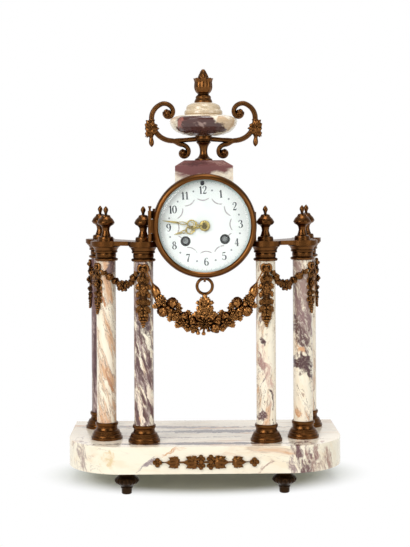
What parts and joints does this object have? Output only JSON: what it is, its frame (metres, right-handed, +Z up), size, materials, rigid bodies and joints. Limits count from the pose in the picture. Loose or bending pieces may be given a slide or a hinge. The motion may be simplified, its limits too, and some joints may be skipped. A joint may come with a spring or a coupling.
{
  "type": "portico mantel clock",
  "caption": "Portico clock: drum movement with hinged bezel and rear door on marble columns with bronze mounts, garlands and a scroll-handled urn.",
  "frame": {"origin": "centre of the footprint, on the surface the feet stand on", "axes": "+X to the viewer's right, +Y to the back of the clock, +Z up"},
  "size_m": [0.3, 0.1525, 0.4623],
  "materials": {
    "marble": "polished",
    "bronze": "aged gilt bronze",
    "brass": "polished",
    "steel": "satin",
    "enamel": "gloss",
    "glass": "clear"
  },
  "bodies": {
    "case": {"base_plinth": "marble", "feet": "bronze", "frieze_mount": "bronze", "column_front_left": "marble", "column_side_left": "marble", "column_rear_left": "marble", "column_front_right": "marble", "column_side_right": "marble", "column_rear_right": "marble", "column_bases": "bronze", "column_capitals": "bronze", "entablature_left": "bronze", "entablature_right": "bronze", "column_finials": "bronze", "tie_bolts": "steel", "drum_case": "bronze", "bracket_left": "bronze", "bracket_right": "bronze", "hinge_pins": "brass", "dial": "enamel", "front_plate": "brass", "back_plate": "brass", "plate_pillars": "brass", "plate_screws": "steel", "pallet_cock": "brass", "bell": "brass", "bell_stand": "steel", "pedestal_block": "marble", "urn_foot": "bronze", "urn_bowl": "marble", "urn_lid": "marble", "urn_finial": "bronze", "urn_handle_left": "bronze", "urn_handle_right": "bronze", "garland_ring": "bronze", "main_garland": "bronze", "column_garlands": "bronze"},
    "bezel": {"bezel": "bronze", "bezel_glass": "glass"},
    "rear_door": {"rear_door": "brass"},
    "minute": {"cannon_pinion": "steel", "minute_hand": "brass", "hand_collet": "brass"},
    "hour": {"hour_wheel": "brass", "hour_hand": "brass"},
    "minute_wheel": {"minute_wheel": "brass"},
    "third": {"third_wheel": "brass"},
    "centre": {"centre_wheel": "brass"},
    "escape": {"escape_wheel": "brass"},
    "second": {"second_wheel": "brass"},
    "going_barrel": {"going_barrel": "brass"},
    "going_arbor": {"going_winding_arbor": "steel"},
    "strike_arbor": {"strike_winding_arbor": "steel"},
    "regulator": {"regulator_arbor": "steel"},
    "pin_wheel": {"strike_pin_wheel": "brass"},
    "strike_barrel": {"strike_barrel": "brass"},
    "fly": {"fly": "steel"},
    "hammer": {"hammer": "steel"},
    "pendulum": {"pendulum": "brass"},
    "pallets": {"pallets": "steel"}
  },
  "joints": [
    {"name": "bezel_hinge", "type": "hinge", "parent": "case", "child": "bezel", "pos_m": [-0.05845, -0.0618, 0.2893], "axis": [0, 0, -1], "range_deg": [0, 115]},
    {"name": "rear_door_hinge", "type": "hinge", "parent": "case", "child": "rear_door", "pos_m": [0.05405, 0.0281, 0.2893], "axis": [0, 0, -1], "range_deg": [0, 115]},
    {"name": "minute_turn", "type": "hinge", "parent": "case", "child": "minute", "pos_m": [0, -0.054, 0.2893], "axis": [0, 1, 0], "continuous": true},
    {"name": "hour_turn", "type": "hinge", "parent": "case", "child": "hour", "pos_m": [0, -0.054, 0.2893], "axis": [0, 1, 0], "continuous": true},
    {"name": "minute_wheel_turn", "type": "hinge", "parent": "case", "child": "minute_wheel", "pos_m": [0.00047, -0.05, 0.27931], "axis": [0, 1, 0], "continuous": true},
    {"name": "third_turn", "type": "hinge", "parent": "case", "child": "third", "pos_m": [0.0127, -0.02, 0.3016], "axis": [0, 1, 0], "continuous": true},
    {"name": "centre_turn", "type": "hinge", "parent": "case", "child": "centre", "pos_m": [0, -0.02, 0.2893], "axis": [0, 1, 0], "continuous": true},
    {"name": "escape_turn", "type": "hinge", "parent": "case", "child": "escape", "pos_m": [-0.00104, -0.02, 0.31128], "axis": [0, 1, 0], "continuous": true},
    {"name": "second_turn", "type": "hinge", "parent": "case", "child": "second", "pos_m": [0.00299, -0.02, 0.27155], "axis": [0, 1, 0], "continuous": true},
    {"name": "going_barrel_turn", "type": "hinge", "parent": "case", "child": "going_barrel", "pos_m": [0.02191, -0.036, 0.27482], "axis": [0, 1, 0], "continuous": true},
    {"name": "going_winding", "type": "hinge", "parent": "case", "child": "going_arbor", "pos_m": [0.02191, -0.036, 0.27482], "axis": [0, 1, 0], "continuous": true},
    {"name": "strike_winding", "type": "hinge", "parent": "case", "child": "strike_arbor", "pos_m": [-0.02045, -0.036, 0.27282], "axis": [0, 1, 0], "continuous": true},
    {"name": "regulator_turn", "type": "hinge", "parent": "case", "child": "regulator", "pos_m": [-0.00214, -0.03, 0.33475], "axis": [0, 1, 0], "range_deg": [-360, 360]},
    {"name": "pin_wheel_turn", "type": "hinge", "parent": "case", "child": "pin_wheel", "pos_m": [-0.02467, -0.02, 0.29155], "axis": [0, 1, 0], "continuous": true},
    {"name": "strike_barrel_turn", "type": "hinge", "parent": "case", "child": "strike_barrel", "pos_m": [-0.02045, -0.036, 0.27282], "axis": [0, 1, 0], "continuous": true},
    {"name": "fly_turn", "type": "hinge", "parent": "case", "child": "fly", "pos_m": [-0.02269, -0.02, 0.30702], "axis": [0, 1, 0], "continuous": true},
    {"name": "hammer_swing", "type": "hinge", "parent": "case", "child": "hammer", "pos_m": [-0.04033, 0, 0.29541], "axis": [0, 1, 0], "range_deg": [0, 14], "stiffness_Nm_per_rad": 0.002, "springref_deg": -17.19},
    {"name": "pendulum_swing", "type": "hinge", "parent": "case", "child": "pendulum", "pos_m": [-0.00162, 0, 0.32366], "axis": [0, 1, 0], "range_deg": [-3.5, 3.5]},
    {"name": "pallet_swing", "type": "hinge", "parent": "case", "child": "pallets", "pos_m": [-0.00162, 0, 0.32366], "axis": [0, 1, 0], "range_deg": [-3.5, 3.5]}
  ],
  "couplings": [
    {"joint": "hour_turn", "follows": "minute_turn", "ratio": 0.083333},
    {"joint": "minute_wheel_turn", "follows": "minute_turn", "ratio": -0.33333},
    {"joint": "centre_turn", "follows": "third_turn", "ratio": -0.083333},
    {"joint": "escape_turn", "follows": "third_turn", "ratio": -14},
    {"joint": "second_turn", "follows": "third_turn", "ratio": 0.0092593},
    {"joint": "going_barrel_turn", "follows": "third_turn", "ratio": -0.0013228},
    {"joint": "strike_barrel_turn", "follows": "pin_wheel_turn", "ratio": -0.14286},
    {"joint": "fly_turn", "follows": "pin_wheel_turn", "ratio": -8.75},
    {"joint": "pallet_swing", "follows": "pendulum_swing", "ratio": 1}
  ]
}
